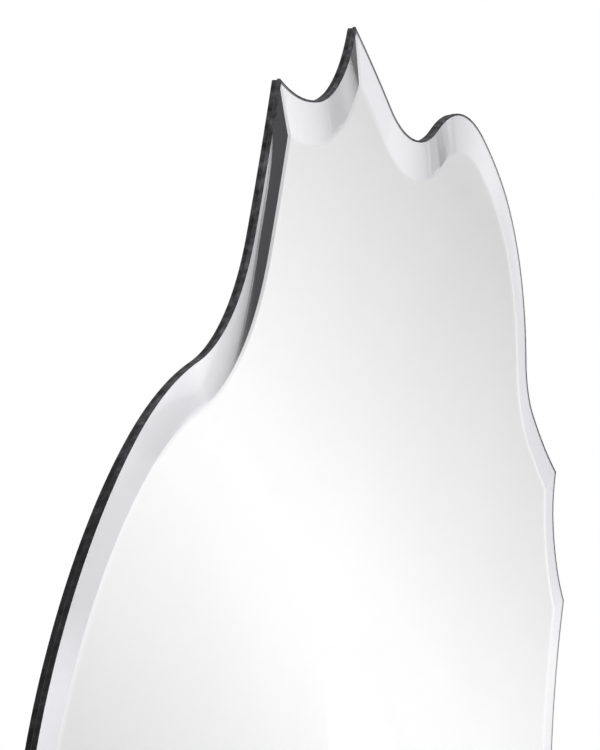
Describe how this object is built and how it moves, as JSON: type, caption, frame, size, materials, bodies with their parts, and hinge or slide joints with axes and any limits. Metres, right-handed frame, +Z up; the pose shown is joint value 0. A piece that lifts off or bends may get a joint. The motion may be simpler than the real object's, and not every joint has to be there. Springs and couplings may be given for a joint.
{
  "type": "scalloped wall mirror",
  "caption": "Frameless wall mirror with a free-form scalloped edge and sharp tips, bevelled all round, on a batten frame that hangs from swinging wire rings.",
  "frame": {"origin": "on the wall plane, midway between the inside corners of the two raised rings, where they take their hooks", "axes": "+X to the right seen from the front, +Y into the wall, +Z up; the glass faces -Y"},
  "size_m": [0.955, 0.0263, 0.8236],
  "materials": {
    "clear_glass": "polished, bevel ground and polished",
    "silvering": "mirror",
    "adhesive": "matt",
    "black_board": "black paint on fibreboard",
    "fibreboard": "raw, sanded",
    "zinc_plate": "zinc plated",
    "zinc_wire": "zinc plated",
    "screw_steel": "zinc plated",
    "bumper_rubber": "matt"
  },
  "bodies": {
    "mirror": {"mirror_glass": "clear_glass", "silver_coating": "silvering", "adhesive_film": "adhesive", "backing_board": "black_board", "left_batten": "fibreboard", "right_batten": "fibreboard", "upper_batten": "fibreboard", "lower_batten": "fibreboard", "hanger_plate_left": "zinc_plate", "hanger_plate_right": "zinc_plate", "hanger_screws": "screw_steel", "bumper_upper_left": "bumper_rubber", "bumper_upper_right": "bumper_rubber", "bumper_lower_left": "bumper_rubber", "bumper_lower_right": "bumper_rubber"},
    "left_ring": {"hanger_ring_left": "zinc_wire"},
    "right_ring": {"hanger_ring_right": "zinc_wire"}
  },
  "joints": [
    {"name": "ring_left_swing", "type": "hinge", "parent": "mirror", "child": "left_ring", "pos_m": [-0.2, -0.0047, -0.016], "axis": [1, 0, 0], "range_deg": [0, 180]},
    {"name": "ring_right_swing", "type": "hinge", "parent": "mirror", "child": "right_ring", "pos_m": [0.2, -0.0047, -0.016], "axis": [1, 0, 0], "range_deg": [0, 180]}
  ]
}
